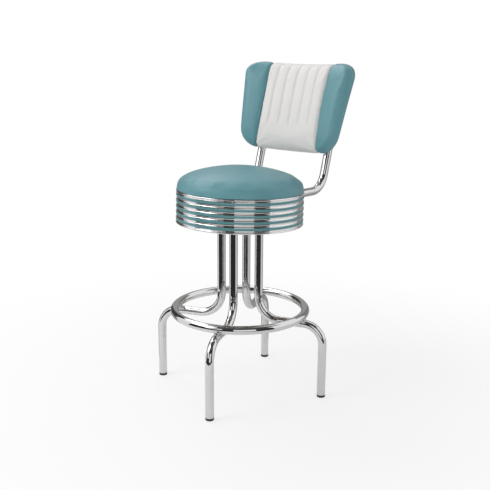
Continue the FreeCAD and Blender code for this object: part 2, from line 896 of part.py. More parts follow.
def curved_sheet(inset, rear, front):
    # A bent sheet with the pad's outline, drawn in by inset, between two depths
    centre = Vec(0, -(rear_offset() + pad_bend_radius), pad_bottom - 1)
    height = pad_top - pad_bottom + 2
    sheet = Part.makeCylinder(pad_bend_radius - rear, height, centre)
    sheet = sheet.cut(Part.makeCylinder(pad_bend_radius - front, height, centre))
    low = pad_bottom + inset
    high = pad_top - inset
    share = pad_half_width_top - pad_half_width_bottom
    slope = share / (pad_top - pad_bottom)
    bottom_width = pad_half_width_bottom - inset * (1 - slope)
    top_width = pad_half_width_top - inset * (1 + slope)
    corners = [Vec(-bottom_width, 0, low), Vec(bottom_width, 0, low)]
    corners += [Vec(top_width, 0, high), Vec(-top_width, 0, high)]
    outline = Part.Face(Part.makePolygon(corners + corners[:1])).extrude(Vec(0, -pad_bend_radius / 4, 0))
    outline = moved(outline, 0, pad_bend_radius / 16, 0)
    upright = [e for e in outline.Edges if abs(e.Vertexes[0].Y - e.Vertexes[1].Y) > 1]
    lower = [e for e in upright if e.Vertexes[0].Z < (low + high) / 2]
    upper = [e for e in upright if e.Vertexes[0].Z > (low + high) / 2]
    outline = outline.makeFillet(pad_bottom_corner - inset, lower)
    upper = [
        e
        for e in outline.Edges
        if len(e.Vertexes) == 2
        and abs(e.Vertexes[0].Y - e.Vertexes[1].Y) > 1
        and abs(abs(e.Vertexes[0].X) - top_width) < 0.01
        and abs(e.Vertexes[0].Z - high) < 0.01
    ]
    outline = outline.makeFillet(pad_top_corner - inset, upper)
    return sheet.common(outline)


def back_screw_depths():
    # Where the screws meet the board, in the pad's frame, measured ahead of the post centres
    reach = pad_bend_radius - rear_panel_thickness - back_board_thickness
    centre = rear_offset() + pad_bend_radius
    return centre - sqrt(reach ** 2 - post_half_spacing ** 2)


def back_screw(x, u):
    behind = tube_radius + fit_gap
    head = along_normal(screw_head_radius, behind + screw_head_height, -behind, x, u)
    head = head.makeFillet(1.4, [e for e in head.Edges if e.BoundBox.YMin > behind + 1])
    return head.fuse(along_normal(screw_radius, behind, back_screw_depths(), x, u))


def back_tee_nut(x, u):
    face = back_screw_depths()
    flange = along_normal(tee_flange_radius, tee_flange_thickness - face, face, x, u)
    barrel = along_normal(tee_barrel_radius, tee_barrel_length - face, face - tee_flange_thickness, x, u)
    return flange.fuse(barrel).cut(along_normal(screw_radius + fit_gap, 0, face + 1, x, u))


def back_tee_room(x, u):
    face = back_screw_depths()
    flange = along_normal(tee_flange_radius + fit_gap, tee_flange_thickness + fit_gap - face, face + 5, x, u)
    return flange.fuse(along_normal(tee_barrel_radius + fit_gap, 0, face, x, u))


def make_back_pad():
    points = back_screw_points()
    rear_panel = curved_sheet(rear_panel_inset, 0, rear_panel_thickness)
    board_front = rear_panel_thickness + back_board_thickness
    board = curved_sheet(back_board_inset, rear_panel_thickness, board_front)
    room = group([back_tee_room(x, u) for x, u in points])
    bores = group([along_normal(screw_hole_radius, 0, tube_diameter, x, u) for x, u in points])
    save("back_rear_panel", pitched(raked(rear_panel.cut(bores))))
    save("back_board", pitched(raked(board.cut(room))))
    save("back_screws", pitched(raked(group([back_screw(x, u) for x, u in points]))))
    save("back_tee_nuts", pitched(raked(group([back_tee_nut(x, u) for x, u in points]))))

    hollow = loft([full_section(u, pad_cover_thickness) for u in pad_stations(pad_cover_thickness)])
    foam_inset = pad_cover_thickness + soft_gap / 2
    foam = loft([full_section(u, foam_inset) for u in pad_stations(foam_inset)])
    board_room = curved_sheet(back_board_inset - soft_gap / 2, 0, board_front + soft_gap / 2)
    hollow = hollow.fuse(board_room)
    foam = foam.cut(board_room).cut(room)
    save("back_foam", pitched(raked(foam)))
    centre = loft([centre_section(u) for u in pad_stations(0)])
    save("back_centre_panel", pitched(raked(centre.cut(hollow))))
    for name, side in (("left", -1), ("right", 1)):
        wing = loft([wing_section(u, side) for u in pad_stations(0)])
        save("back_wing_" + name, pitched(raked(wing.cut(hollow))))


make_base()
make_swivel()
make_seat()
make_back_frame()
make_back_pad()
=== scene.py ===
import math
import bmesh
import bpy
from mathutils import Matrix, Vector, noise
from mathutils.bvhtree import BVHTree


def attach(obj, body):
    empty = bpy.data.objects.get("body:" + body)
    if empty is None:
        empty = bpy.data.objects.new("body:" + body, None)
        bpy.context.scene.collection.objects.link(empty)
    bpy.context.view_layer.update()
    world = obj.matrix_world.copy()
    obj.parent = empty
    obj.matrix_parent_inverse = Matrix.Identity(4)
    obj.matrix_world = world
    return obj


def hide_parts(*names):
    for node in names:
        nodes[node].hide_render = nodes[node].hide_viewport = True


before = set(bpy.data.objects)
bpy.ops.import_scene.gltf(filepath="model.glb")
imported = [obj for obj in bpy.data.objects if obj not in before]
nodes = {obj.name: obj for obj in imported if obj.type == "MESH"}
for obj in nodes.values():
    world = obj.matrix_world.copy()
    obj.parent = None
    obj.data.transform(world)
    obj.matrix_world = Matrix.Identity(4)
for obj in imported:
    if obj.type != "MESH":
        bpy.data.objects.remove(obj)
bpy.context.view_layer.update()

scene = bpy.context.scene


# Small helpers

def smoothStep(low, high, value):
    t = max(0.0, min(1.0, (value - low) / (high - low)))
    return t * t * (3 - 2 * t)


def newObject(name, mesh):
    obj = bpy.data.objects.new(name, mesh)
    scene.collection.objects.link(obj)
    return obj


def meshFrom(name, points, faces):
    mesh = bpy.data.meshes.new(name)
    mesh.from_pydata([tuple(p) for p in points], [], faces)
    mesh.update()
    return newObject(name, mesh)


def smooth(obj):
    obj.data.polygons.foreach_set("use_smooth", [True] * len(obj.data.polygons))
    obj.data.update()


def fixNormals(obj, mergeAt=0.00001):
    bm = bmesh.new()
    bm.from_mesh(obj.data)
    bmesh.ops.remove_doubles(bm, verts=bm.verts, dist=mergeAt)
    bmesh.ops.recalc_face_normals(bm, faces=bm.faces)
    bm.to_mesh(obj.data)
    bm.free()
    obj.data.update()


def bakeModifiers(obj):
    # The evaluated object becomes the plain mesh, and its modifiers go
    depsgraph = bpy.context.evaluated_depsgraph_get()
    depsgraph.update()
    mesh = bpy.data.meshes.new_from_object(obj.evaluated_get(depsgraph), depsgraph=depsgraph)
    old = obj.data
    obj.modifiers.clear()
    obj.data = mesh
    mesh.name = obj.name
    if old.users == 0 and isinstance(old, bpy.types.Mesh):
        bpy.data.meshes.remove(old)
    return obj


def arcThrough(a, middle, b, count):
    # Points of the circle through three points, both ends included
    ab = middle - a
    ac = b - a
    normal = ab.cross(ac)
    if normal.length < 1e-9:
        return [a.lerp(b, k / count) for k in range(count + 1)]
    centre = a + (normal.cross(ab) * ac.length_squared + ac.cross(normal) * ab.length_squared) / (
        2 * normal.length_squared
    )
    first = a - centre
    side = normal.normalized().cross(first)
    last = b - centre
    angle = math.atan2(last.dot(side.normalized()) * first.length, last.dot(first))
    if angle < 0:
        angle += 2 * math.pi
    return [
        centre + first * math.cos(angle * k / count) + side * math.sin(angle * k / count)
        for k in range(count + 1)
    ]


# Camera

cameraValues = {
    "place": (1.5219, -1.9480, 1.0727),
    "forward": (-0.5928, 0.7682, -0.2419),
    "roll": 0.005,
    "lens": 61.69,
}


def makeCamera():
    data = bpy.data.cameras.new("camera")
    data.lens = cameraValues["lens"]
    data.sensor_width = 36
    camera = newObject("camera", data)
    forward = Vector(cameraValues["forward"]).normalized()
    right = forward.cross(Vector((0, 0, 1))).normalized()
    up = right.cross(forward)
    roll = cameraValues["roll"]
    turnedRight = right * math.cos(roll) + up * math.sin(roll)
    turnedUp = up * math.cos(roll) - right * math.sin(roll)
    camera.matrix_world = Matrix(
        (
            (turnedRight.x, turnedUp.x, -forward.x, cameraValues["place"][0]),
            (turnedRight.y, turnedUp.y, -forward.y, cameraValues["place"][1]),
            (turnedRight.z, turnedUp.z, -forward.z, cameraValues["place"][2]),
            (0, 0, 0, 1),
        )
    )
    data.clip_start = 0.05
    data.clip_end = 60
    scene.camera = camera


makeCamera()
print("camera placed")


# Shader node groups shared by several materials

def newGroup(name, inputs, outputs):
    tree = bpy.data.node_groups.new(name, "ShaderNodeTree")
    for label, kind, value in inputs:
        socket = tree.interface.new_socket(label, in_out="INPUT", socket_type=kind)
        socket.default_value = value
    for label, kind in outputs:
        tree.interface.new_socket(label, in_out="OUTPUT", socket_type=kind)
    entry = tree.nodes.new("NodeGroupInput")
    leave = tree.nodes.new("NodeGroupOutput")
    return tree, entry, leave


def makeVinylGrain():
    # Pebbled grain of upholstery vinyl, with slow variation of its tone and gloss
    tree, entry, leave = newGroup(
        "vinylGrain",
        [("Pebble Scale", "NodeSocketFloat", 900.0), ("Drift Scale", "NodeSocketFloat", 9.0)],
        [("Height", "NodeSocketFloat"), ("Tone", "NodeSocketFloat"), ("Gloss", "NodeSocketFloat")],
    )
    coords = tree.nodes.new("ShaderNodeTexCoord")
    pebble = tree.nodes.new("ShaderNodeTexVoronoi")
    pebble.feature = "SMOOTH_F1"
    pebble.inputs["Smoothness"].default_value = 0.6
    fine = tree.nodes.new("ShaderNodeTexNoise")
    fine.inputs["Scale"].default_value = 1600
    fine.inputs["Detail"].default_value = 3
    drift = tree.nodes.new("ShaderNodeTexNoise")
    drift.inputs["Detail"].default_value = 4
    drift.inputs["Roughness"].default_value = 0.55
    height = tree.nodes.new("ShaderNodeMath")
    height.operation = "MULTIPLY_ADD"
    height.inputs[1].default_value = 0.35
    gloss = tree.nodes.new("ShaderNodeMapRange")
    gloss.inputs["From Min"].default_value = 0.3
    gloss.inputs["From Max"].default_value = 0.7
    link = tree.links.new
    for node in (pebble, fine, drift):
        link(coords.outputs["Object"], node.inputs["Vector"])
    link(entry.outputs["Pebble Scale"], pebble.inputs["Scale"])
    link(entry.outputs["Drift Scale"], drift.inputs["Scale"])
    link(fine.outputs["Fac"], height.inputs[0])
    link(pebble.outputs["Distance"], height.inputs[2])
    link(height.outputs[0], leave.inputs["Height"])
    link(drift.outputs["Fac"], leave.inputs["Tone"])
    link(drift.outputs["Fac"], gloss.inputs["Value"])
    link(gloss.outputs["Result"], leave.inputs["Gloss"])
    return tree


def makeHandledMetal():
    # Faint smears and hairline scratches on plated and machined metal
    tree, entry, leave = newGroup(
        "handledMetal",
        [("Smear Scale", "NodeSocketFloat", 14.0), ("Hairline Scale", "NodeSocketFloat", 420.0)],
        [("Smear", "NodeSocketFloat"), ("Hairline", "NodeSocketFloat"), ("Ripple", "NodeSocketFloat")],
    )
    coords = tree.nodes.new("ShaderNodeTexCoord")
    smear = tree.nodes.new("ShaderNodeTexNoise")
    smear.inputs["Detail"].default_value = 5
    smear.inputs["Roughness"].default_value = 0.6
    stretch = tree.nodes.new("ShaderNodeMapping")
    stretch.inputs["Scale"].default_value = (1.0, 1.0, 0.05)
    hair = tree.nodes.new("ShaderNodeTexNoise")
    hair.inputs["Detail"].default_value = 2
    thin = tree.nodes.new("ShaderNodeMapRange")
    thin.inputs["From Min"].default_value = 0.62
    thin.inputs["From Max"].default_value = 0.78
    ripple = tree.nodes.new("ShaderNodeTexNoise")
    ripple.inputs["Scale"].default_value = 26
    ripple.inputs["Detail"].default_value = 1
    link = tree.links.new
    link(coords.outputs["Object"], smear.inputs["Vector"])
    link(coords.outputs["Object"], stretch.inputs["Vector"])
    link(coords.outputs["Object"], ripple.inputs["Vector"])
    link(stretch.outputs["Vector"], hair.inputs["Vector"])
    link(entry.outputs["Smear Scale"], smear.inputs["Scale"])
    link(entry.outputs["Hairline Scale"], hair.inputs["Scale"])
    link(hair.outputs["Fac"], thin.inputs["Value"])
    link(smear.outputs["Fac"], leave.inputs["Smear"])
    link(thin.outputs["Result"], leave.inputs["Hairline"])
    link(ripple.outputs["Fac"], leave.inputs["Ripple"])
    return tree


vinylGrain = makeVinylGrain()
handledMetal = makeHandledMetal()


# Materials

def startMaterial(name):
    material = bpy.data.materials.new(name)
    material.use_nodes = True
    tree = material.node_tree
    shader = tree.nodes["Principled BSDF"]
    return material, tree, shader


def mixColours(tree, factor, first, second):
    mix = tree.nodes.new("ShaderNodeMix")
    mix.data_type = "RGBA"
    mix.inputs["A"].default_value = (*first, 1)
    mix.inputs["B"].default_value = (*second, 1)
    tree.links.new(factor, mix.inputs["Factor"])
    return mix.outputs["Result"]


def mapRange(tree, value, low, high):
    node = tree.nodes.new("ShaderNodeMapRange")
    node.inputs["To Min"].default_value = low
    node.inputs["To Max"].default_value = high
    tree.links.new(value, node.inputs["Value"])
    return node.outputs["Result"]


def addBump(tree, shader, height, strength, distance):
    bump = tree.nodes.new("ShaderNodeBump")
    bump.inputs["Strength"].default_value = strength
    bump.inputs["Distance"].default_value = distance
    tree.links.new(height, bump.inputs["Height"])
    tree.links.new(bump.outputs["Normal"], shader.inputs["Normal"])


def vinylMaterial(name, values):
    material, tree, shader = startMaterial(name)
    grain = tree.nodes.new("ShaderNodeGroup")
    grain.node_tree = vinylGrain
    grain.inputs["Pebble Scale"].default_value = values["pebbleScale"]
    grain.inputs["Drift Scale"].default_value = values["driftScale"]
    colour = mixColours(tree, grain.outputs["Tone"], values["dark"], values["light"])
    tree.links.new(colour, shader.inputs["Base Color"])
    rough = mapRange(tree, grain.outputs["Gloss"], values["roughLow"], values["roughHigh"])
    tree.links.new(rough, shader.inputs["Roughness"])
    addBump(tree, shader, grain.outputs["Height"], values["bump"], 0.0002)
    shader.inputs["Specular IOR Level"].default_value = values["specular"]
    shader.inputs["Sheen Weight"].default_value = values["sheen"]
    shader.inputs["Sheen Roughness"].default_value = 0.5
    return material


def metalMaterial(name, values):
    material, tree, shader = startMaterial(name)
    wear = tree.nodes.new("ShaderNodeGroup")
    wear.node_tree = handledMetal
    wear.inputs["Smear Scale"].default_value = values["smearScale"]
    wear.inputs["Hairline Scale"].default_value = values["hairlineScale"]
    colour = mixColours(tree, wear.outputs["Smear"], values["dark"], values["light"])
    tree.links.new(colour, shader.inputs["Base Color"])
    smear = mapRange(tree, wear.outputs["Smear"], values["roughLow"], values["roughHigh"])
    total = tree.nodes.new("ShaderNodeMath")
    total.operation = "MULTIPLY_ADD"
    total.inputs[1].default_value = values["hairlineRough"]
    tree.links.new(wear.outputs["Hairline"], total.inputs[0])
    tree.links.new(smear, total.inputs[2])
    tree.links.new(total.outputs[0], shader.inputs["Roughness"])
    addBump(tree, shader, wear.outputs["Ripple"], values["bump"], values["bumpDepth"])
    shader.inputs["Metallic"].default_value = 1.0
    return material


def plasticMaterial(name, values):
    material, tree, shader = startMaterial(name)
    coords = tree.nodes.new("ShaderNodeTexCoord")
    grain = tree.nodes.new("ShaderNodeTexNoise")
    grain.inputs["Scale"].default_value = values["scale"]
    grain.inputs["Detail"].default_value = 4
    tree.links.new(coords.outputs["Object"], grain.inputs["Vector"])
    colour = mixColours(tree, grain.outputs["Fac"], values["dark"], values["light"])
    tree.links.new(colour, shader.inputs["Base Color"])
    rough = mapRange(tree, grain.outputs["Fac"], values["roughLow"], values["roughHigh"])
    tree.links.new(rough, shader.inputs["Roughness"])
    addBump(tree, shader, grain.outputs["Fac"], values["bump"], 0.0003)
    return material


def plywoodMaterial():
    # Face grain from above, thin plies where the sheet is cut
    material, tree, shader = startMaterial("birchPlywood")
    coords = tree.nodes.new("ShaderNodeTexCoord")
    grainMap = tree.nodes.new("ShaderNodeMapping")
    grainMap.inputs["Scale"].default_value = (3, 60, 60)
    grain = tree.nodes.new("ShaderNodeTexNoise")
    grain.inputs["Scale"].default_value = 4
    grain.inputs["Detail"].default_value = 7
    grain.inputs["Distortion"].default_value = 0.6
    plies = tree.nodes.new("ShaderNodeTexWave")
    plies.wave_type = "BANDS"
    plies.bands_direction = "Z"
    plies.inputs["Scale"].default_value = 120
    plies.inputs["Distortion"].default_value = 0.4
    tree.links.new(coords.outputs["Object"], grainMap.inputs["Vector"])
    tree.links.new(grainMap.outputs["Vector"], grain.inputs["Vector"])
    tree.links.new(coords.outputs["Object"], plies.inputs["Vector"])
    face = mixColours(tree, grain.outputs["Fac"], (0.40, 0.26, 0.14), (0.66, 0.50, 0.32))
    edge = mixColours(tree, plies.outputs["Fac"], (0.30, 0.18, 0.09), (0.62, 0.46, 0.29))
    geometry = tree.nodes.new("ShaderNodeNewGeometry")
    split = tree.nodes.new("ShaderNodeSeparateXYZ")
    upright = tree.nodes.new("ShaderNodeMath")
    upright.operation = "ABSOLUTE"
    isFace = tree.nodes.new("ShaderNodeMapRange")
    isFace.inputs["From Min"].default_value = 0.55
    isFace.inputs["From Max"].default_value = 0.75
    blend = tree.nodes.new("ShaderNodeMix")
    blend.data_type = "RGBA"
    tree.links.new(geometry.outputs["Normal"], split.inputs["Vector"])
    tree.links.new(split.outputs["Z"], upright.inputs[0])
    tree.links.new(upright.outputs[0], isFace.inputs["Value"])
    tree.links.new(isFace.outputs["Result"], blend.inputs["Factor"])
    tree.links.new(edge, blend.inputs["A"])
    tree.links.new(face, blend.inputs["B"])
    tree.links.new(blend.outputs["Result"], shader.inputs["Base Color"])
    rough = mapRange(tree, grain.outputs["Fac"], 0.5, 0.72)
    tree.links.new(rough, shader.inputs["Roughness"])
    addBump(tree, shader, grain.outputs["Fac"], 0.3, 0.0004)
    return material


def foamMaterial():
    material, tree, shader = startMaterial("cutFoam")
    coords = tree.nodes.new("ShaderNodeTexCoord")
    pores = tree.nodes.new("ShaderNodeTexVoronoi")
    pores.inputs["Scale"].default_value = 700
    tree.links.new(coords.outputs["Object"], pores.inputs["Vector"])
    # The colour is darker at the pore pits, the same pits the bump sinks: this is painted shade in the
    # pores
    colour = mixColours(tree, pores.outputs["Distance"], (0.42, 0.36, 0.20), (0.82, 0.76, 0.55))
    tree.links.new(colour, shader.inputs["Base Color"])
    rough = mapRange(tree, pores.outputs["Distance"], 0.8, 0.95)
    tree.links.new(rough, shader.inputs["Roughness"])
    addBump(tree, shader, pores.outputs["Distance"], 0.7, 0.0006)
    return material


tealVinyl = vinylMaterial(
    "tealVinyl",
    {
        "dark": (0.095, 0.262, 0.300),
        "light": (0.132, 0.325, 0.372),
        "pebbleScale": 850,
        "driftScale": 8,
        "roughLow": 0.36,
        "roughHigh": 0.46,
        "bump": 0.22,
        "specular": 0.5,
        "sheen": 0.05,
    },
)
whiteVinyl = vinylMaterial(
    "whiteVinyl",
    {
        "dark": (0.73, 0.71, 0.69),
        "light": (0.80, 0.785, 0.765),
        "pebbleScale": 850,
        "driftScale": 6,
        "roughLow": 0.42,
        "roughHigh": 0.52,
        "bump": 0.18,
        "specular": 0.4,
        "sheen": 0.03,
    },
)
stripeVinyl = vinylMaterial(
    "stripeVinyl",
    {
        "dark": (0.085, 0.240, 0.262),
        "light": (0.115, 0.290, 0.312),
        "pebbleScale": 1500,
        "driftScale": 14,
        "roughLow": 0.28,
        "roughHigh": 0.38,
        "bump": 0.05,
        "specular": 0.5,
        "sheen": 0.0,
    },
)
chromeTube = metalMaterial(
    "chromeTube",
    {
        "dark": (0.66, 0.66, 0.665),
        "light": (0.76, 0.76, 0.765),
        "smearScale": 12,
        "hairlineScale": 500,
        "roughLow": 0.035,
        "roughHigh": 0.085,
        "hairlineRough": 0.05,
        "bump": 0.03,
        "bumpDepth": 0.0004,
    },
)
chromeBand = metalMaterial(
    "chromeBand",
    {
        "dark": (0.79, 0.79, 0.80),
        "light": (0.88, 0.88, 0.89),
        "smearScale": 9,
        "hairlineScale": 350,
        "roughLow": 0.03,
        "roughHigh": 0.07,
        "hairlineRough": 0.04,
        "bump": 0.03,
        "bumpDepth": 0.0005,
    },
)
weldChrome = metalMaterial(
    "weldChrome",
    {
        "dark": (0.62, 0.62, 0.63),
        "light": (0.78, 0.78, 0.79),
        "smearScale": 120,
        "hairlineScale": 700,
        "roughLow": 0.12,
        "roughHigh": 0.28,
        "hairlineRough": 0.05,
        "bump": 0.5,
        "bumpDepth": 0.0015,
    },
)
zincPlate = metalMaterial(
    "zincPlate",
    {
        "dark": (0.46, 0.47, 0.46),
        "light": (0.66, 0.66, 0.62),
        "smearScale": 30,
        "hairlineScale": 260,
        "roughLow": 0.30,
        "roughHigh": 0.46,
        "hairlineRough": 0.1,
        "bump": 0.15,
        "bumpDepth": 0.0006,
    },
)
bearingSteel = metalMaterial(
    "bearingSteel",
    {
        "dark": (0.66, 0.67, 0.68),
        "light": (0.78, 0.79, 0.80),
        "smearScale": 200,
        "hairlineScale": 900,
        "roughLow": 0.08,
        "roughHigh": 0.16,
        "hairlineRough": 0.04,
        "bump": 0.02,
        "bumpDepth": 0.0002,
    },
)
brassCage = metalMaterial(
    "brassCage",
    {
        "dark": (0.52, 0.36, 0.13),
        "light": (0.74, 0.56, 0.26),
        "smearScale": 60,
        "hairlineScale": 420,
        "roughLow": 0.25,
        "roughHigh": 0.42,
        "hairlineRough": 0.08,
        "bump": 0.1,
        "bumpDepth": 0.0004,
    },
)
bronzeBushing = metalMaterial(
    "bronzeBushing",
    {
        "dark": (0.36, 0.21, 0.09),
        "light": (0.54, 0.36, 0.18),
        "smearScale": 140,
        "hairlineScale": 600,
        "roughLow": 0.38,
        "roughHigh": 0.55,
        "hairlineRough": 0.05,
        "bump": 0.3,
        "bumpDepth": 0.0003,
    },
)
blackPlastic = plasticMaterial(
    "blackPlastic",
    {
        "dark": (0.012, 0.012, 0.012),
        "light": (0.03, 0.03, 0.031),
        "scale": 420,
        "roughLow": 0.42,
        "roughHigh": 0.62,
        "bump": 0.3,
    },
)
blackPaint = plasticMaterial(
    "blackPaint",
    {
        "dark": (0.016, 0.016, 0.017),
        "light": (0.034, 0.034, 0.036),
        "scale": 260,
        "roughLow": 0.24,
        "roughHigh": 0.36,
        "bump": 0.12,
    },
)
sewingThread = plasticMaterial(
    "sewingThread",
    {
        "dark": (0.50, 0.49, 0.47),
        "light": (0.74, 0.73, 0.71),
        "scale": 3200,
        "roughLow": 0.55,
        "roughHigh": 0.75,
        "bump": 0.5,
    },
)
birchPlywood = plywoodMaterial()
cutFoam = foamMaterial()

nodeMaterials = {
    "foot_ring": chromeTube,
    "foot_ring_welds": weldChrome,
    "column_welds": weldChrome,
    "base_top_plate": blackPaint,
    "swivel_lower_plate": zincPlate,
    "swivel_upper_plate": zincPlate,
    "swivel_bolts": zincPlate,
    "swivel_nuts": zincPlate,
    "king_pin": zincPlate,
    "bearing_balls": bearingSteel,
    "ball_cage": brassCage,
    "pin_bushing": bronzeBushing,
    "seat_board": birchPlywood,
    "seat_tee_nuts": zincPlate,
    "seat_screws": zincPlate,
    "seat_foam": cutFoam,
    "seat_cover": tealVinyl,
    "seat_band": chromeBand,
    "band_mounting_ring": zincPlate,
    "band_screws": zincPlate,
    "back_frame": chromeTube,
    "frame_bolts": zincPlate,
    "post_end_plugs": blackPlastic,
    "back_board": birchPlywood,
    "back_tee_nuts": zincPlate,
    "back_screws": weldChrome,
    "back_foam": cutFoam,
    "back_centre_panel": whiteVinyl,
    "back_wing_left": tealVinyl,
    "back_wing_right": tealVinyl,
    "back_rear_panel": tealVinyl,
}
for k in range(1, 5):
    nodeMaterials["leg_tube_%d" % k] = chromeTube
    nodeMaterials["foot_glide_%d" % k] = blackPlastic
for k in range(1, 6):
    nodeMaterials["band_stripe_%d" % k] = stripeVinyl
for name, obj in nodes.items():
    for slot in obj.material_slots:
        slot.material = nodeMaterials[name]
print("materials made for", len(nodeMaterials), "pieces of the frame")


# Seat cushion: stretched vinyl over foam, drawn in under its edge

seatValues = {
    "boardHeight": 0.628,
    "boardRadius": 0.184,
    "boardTop": 0.643,
    "bandTop": 0.6265,
    "bandGap": 0.0003,
    "pitch": math.radians(2.0),
    "crown": 0.067,
    "shoulderRadius": 0.178,
    "shoulderHeight": 0.034,
    "radius": 0.1965,
    "widest": 0.012,
    "underRadius": 0.1905,
    "rimFrom": 0.180,
    "rimTo": 0.1898,
    "rimHeight": 0.0042,
    "gatherFrom": 0.187,
    "gatherHeight": 0.013,
    "gatherDepth": 0.0006,
    "gathers": 74,
    "pocketFrom": 0.1872,
    "pocketGap": 0.0006,
    "around": 128,
}
clothValues = {
    "seatVoxel": 0.005,
    "padVoxel": 0.004,
    "pressure": 4.0,
    "frames": 20,
    "shrink": 0.0015,
    "cap": 0.005,
    "seatRelaxBefore": 14,
    "seatRelaxAfter": 16,
    "padRelaxBefore": 3,
    "padRelaxAfter": 2,
}


def pitchSeat(point):
    # The seat leans back on its swivel plate
    v = seatValues
    y = point.y
    z = point.z - v["boardHeight"]
    c = math.cos(v["pitch"])
    s = math.sin(v["pitch"])
    return Vector((point.x, y * c + z * s, v["boardHeight"] + z * c - y * s))


def cushionProfile(shrink):
    v = seatValues
    crownTop = v["boardHeight"] + v["crown"]
    ball = (v["shoulderRadius"] ** 2 + v["shoulderHeight"] ** 2) / (2 * v["shoulderHeight"])
    centre = crownTop - ball
    radius = ball - shrink
    spread = math.asin(v["shoulderRadius"] / ball)
    top = [
        Vector((radius * math.sin(spread * k / 24), 0, centre + radius * math.cos(spread * k / 24)))
        for k in range(25)
    ]
    edge = top[-1]
    widest = Vector((v["radius"] - shrink, 0, v["boardHeight"] + v["widest"]))
    slope = math.atan2(edge.z - widest.z, widest.x - edge.x)
    bulge = 0.2 * (edge - widest).length
    upper = (edge + widest) / 2 + Vector((bulge * math.sin(slope), 0, bulge * math.cos(slope)))
    under = Vector((v["underRadius"] - shrink, 0, v["bandTop"] + v["bandGap"]))
    drawn = 0.22 * (widest.z - under.z)
    lower = Vector(((widest.x + under.x) / 2 + drawn, 0, (widest.z + under.z) / 2 - drawn / 2))
    points = top + arcThrough(edge, upper, widest, 8)[1:] + arcThrough(widest, lower, under, 6)[1:]
    return points + [Vector((under.x * k / 5, 0, under.z)) for k in (4, 3, 2, 1)]


def turnProfile(name, profile, count):
    # First point on the axis above, last ring closed to a point on the axis below
    points = [Vector((0, 0, profile[0].z))]
    faces = []
    rings = profile[1:]
    for ring in rings:
        for k in range(count):
            a = 2 * math.pi * k / count
            points.append(Vector((ring.x * math.cos(a), ring.x * math.sin(a), ring.z)))
    last = len(points)
    points.append(Vector((0, 0, profile[-1].z)))
    for k in range(count):
        n = (k + 1) % count
        faces.append((0, 1 + k, 1 + n))
        for r in range(len(rings) - 1):
            a = 1 + r * count
            faces.append((a + k, a + count + k, a + count + n, a + n))
        a = 1 + (len(rings) - 1) * count
        faces.append((a + k, last, a + n))
    return meshFrom(name, points, faces)


def remeshed(obj, voxel):
    step = obj.modifiers.new("remesh", "REMESH")
    step.mode = "VOXEL"
    step.voxel_size = voxel
    step.use_smooth_shade = True
    return bakeModifiers(obj)


def inflate(obj, isHeld, cap):
    # Air pressure pulls the cover tight; held points stay where they are fastened
    rest = [v.co.copy() for v in obj.data.vertices]
    held = obj.vertex_groups.new(name="held")
    held.add([v.index for v in obj.data.vertices if isHeld(v.co)], 1.0, "REPLACE")
    cloth = obj.modifiers.new("cloth", "CLOTH")
    settings = cloth.settings
    settings.quality = 5
    settings.mass = 0.3
    settings.use_pressure = True
    settings.uniform_pressure_force = clothValues["pressure"]
    settings.vertex_group_mass = "held"
    settings.effector_weights.gravity = 0
    settings.tension_stiffness = 25
    settings.compression_stiffness = 25
    settings.bending_stiffness = 1.5
    cloth.collision_settings.use_collision = False
    cloth.point_cache.frame_start = 1
    cloth.point_cache.frame_end = clothValues["frames"]
    for f in range(1, clothValues["frames"] + 1):
        scene.frame_set(f)
    bakeModifiers(obj)
    scene.frame_set(1)
    for v, before in zip(obj.data.vertices, rest):
        move = v.co - before
        if move.length > cap:
            v.co = before + move.normalized() * cap
    obj.vertex_groups.clear()
    obj.data.update()


def relax(obj, rounds, isHeld):
    bm = bmesh.new()
    bm.from_mesh(obj.data)
    free = [v for v in bm.verts if not isHeld(v.co)]
    for k in range(rounds):
        bmesh.ops.smooth_vert(bm, verts=free, factor=0.5, use_axis_x=True, use_axis_y=True, use_axis_z=True)
    bm.to_mesh(obj.data)
    bm.free()


def subdivided(obj):
    step = obj.modifiers.new("subdivide", "SUBSURF")
    step.levels = 1
    step.render_levels = 1
    return bakeModifiers(obj)


def makeSeatCushion():
    v = seatValues
    cloth = clothValues
    cushion = turnProfile("seatCushion", cushionProfile(cloth["shrink"]), v["around"])
    floorLevel = v["bandTop"] + v["bandGap"]
    pocketRadius = v["boardRadius"] + v["pocketGap"]

    def held(p):
        return p.z < floorLevel + 0.0015 and math.hypot(p.x, p.y) < v["underRadius"]

    remeshed(cushion, cloth["seatVoxel"])
    for vert in cushion.data.vertices:
        # The remesh rounds the lower rim off: it goes back down on to the band
        r = math.hypot(vert.co.x, vert.co.y)
        if vert.co.z < floorLevel + v["rimHeight"] and r > v["rimFrom"]:
            vert.co.z = floorLevel
            vert.co.x *= min(r + 0.001, v["rimTo"]) / r
            vert.co.y *= min(r + 0.001, v["rimTo"]) / r
    relax(cushion, cloth["seatRelaxBefore"], held)
    inflate(cushion, held, cloth["cap"])
    relax(cushion, cloth["seatRelaxAfter"], held)
    for vert in cushion.data.vertices:
        p = vert.co
        r = math.hypot(p.x, p.y)
        # Gathers where the cover is pulled under and stapled
        around = math.atan2(p.y, p.x)
        gather = 1 - smoothStep(floorLevel, floorLevel + v["gatherHeight"], p.z)
        if r > v["gatherFrom"] and gather > 0:
            wave = noise.noise(Vector((math.cos(around) * 9, math.sin(around) * 9, 0.3)))
            r2 = r + v["gatherDepth"] * gather * math.sin(around * v["gathers"] + wave * 5)
            p.x *= r2 / r
            p.y *= r2 / r
        # The pocket that the board fills
        if p.z < floorLevel + 0.002 and r < v["pocketFrom"]:
            p.z = v["boardTop"] + 0.0004
            if r > pocketRadius:
                p.x *= pocketRadius / r
                p.y *= pocketRadius / r
        vert.co = pitchSeat(p)
    cushion.data.update()
    subdivided(cushion)
    fixNormals(cushion)
    smooth(cushion)
    cushion.data.materials.append(tealVinyl)
    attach(cushion, "seat")
    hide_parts("seat_cover", "seat_foam")
    return cushion


